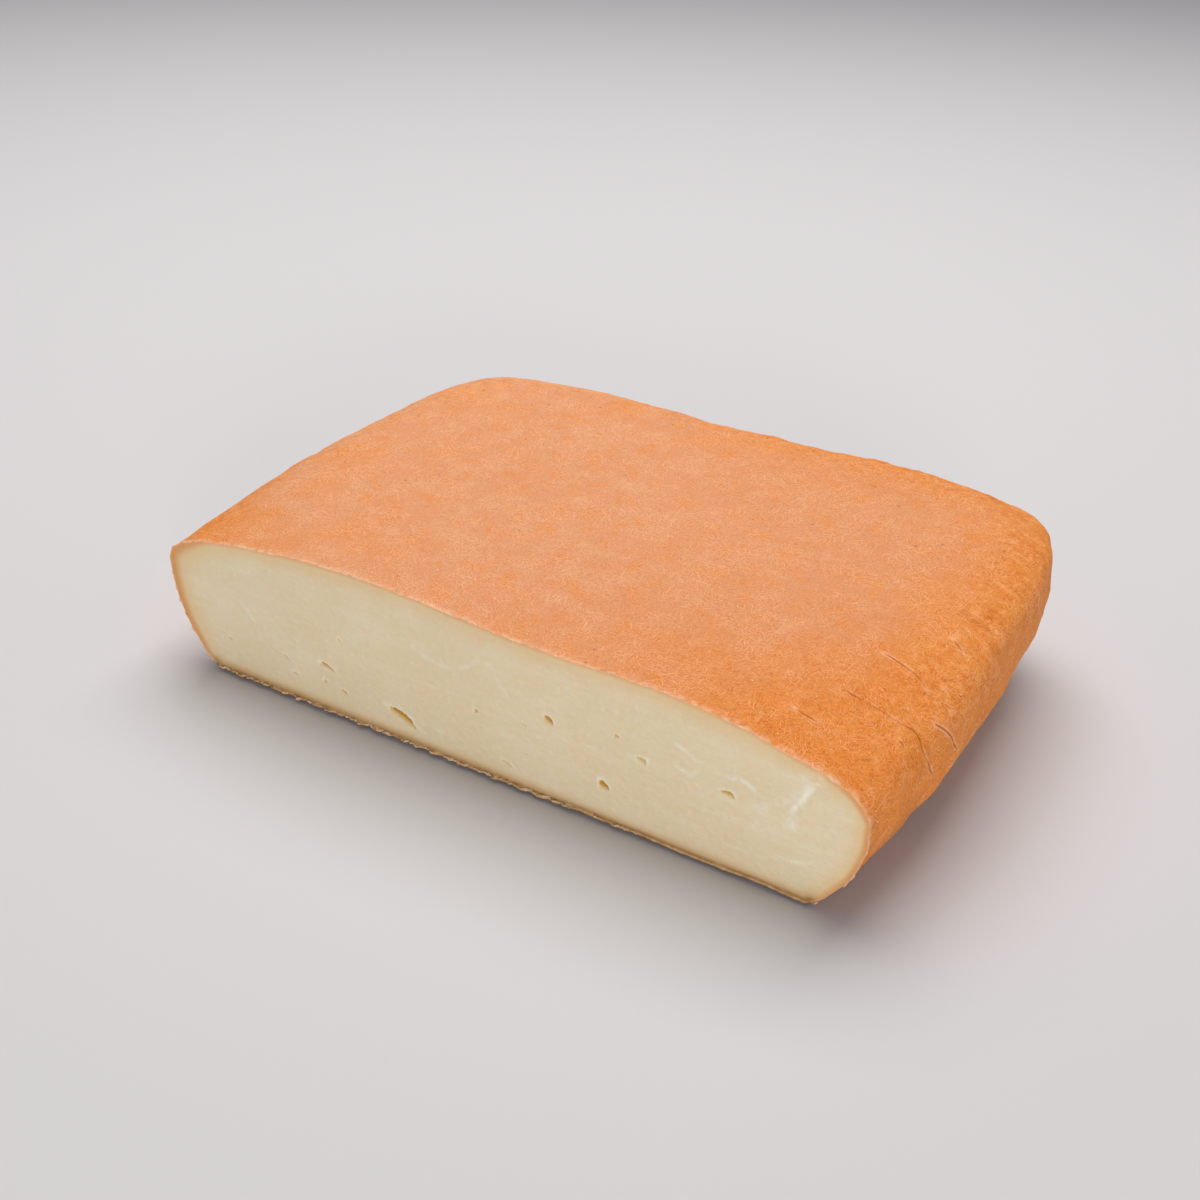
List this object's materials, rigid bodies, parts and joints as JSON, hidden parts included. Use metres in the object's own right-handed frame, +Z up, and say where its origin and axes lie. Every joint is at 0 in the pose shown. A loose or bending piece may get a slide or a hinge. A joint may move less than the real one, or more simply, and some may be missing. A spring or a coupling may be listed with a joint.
{
  "type": "cut piece of square washed-rind cheese",
  "caption": "Square soft cheese with an orange washed rind, cut straight across, with rounded shoulders, bellied walls, small eyes in its pale cut face and a flat underside to lie on.",
  "frame": {"origin": "on the flat underside, under the middle of the piece's bounding box", "axes": "+X along the cut, +Y from the cut towards the uncut back, so the cut face looks along -Y, and +Z up"},
  "size_m": [0.204, 0.1376, 0.044],
  "materials": {
    "rind": "thin, dry, felted orange washed rind over ivory cheese paste that shows at the cut"
  },
  "bodies": {
    "root": {"taleggio_piece": "rind"}
  },
  "joints": []
}
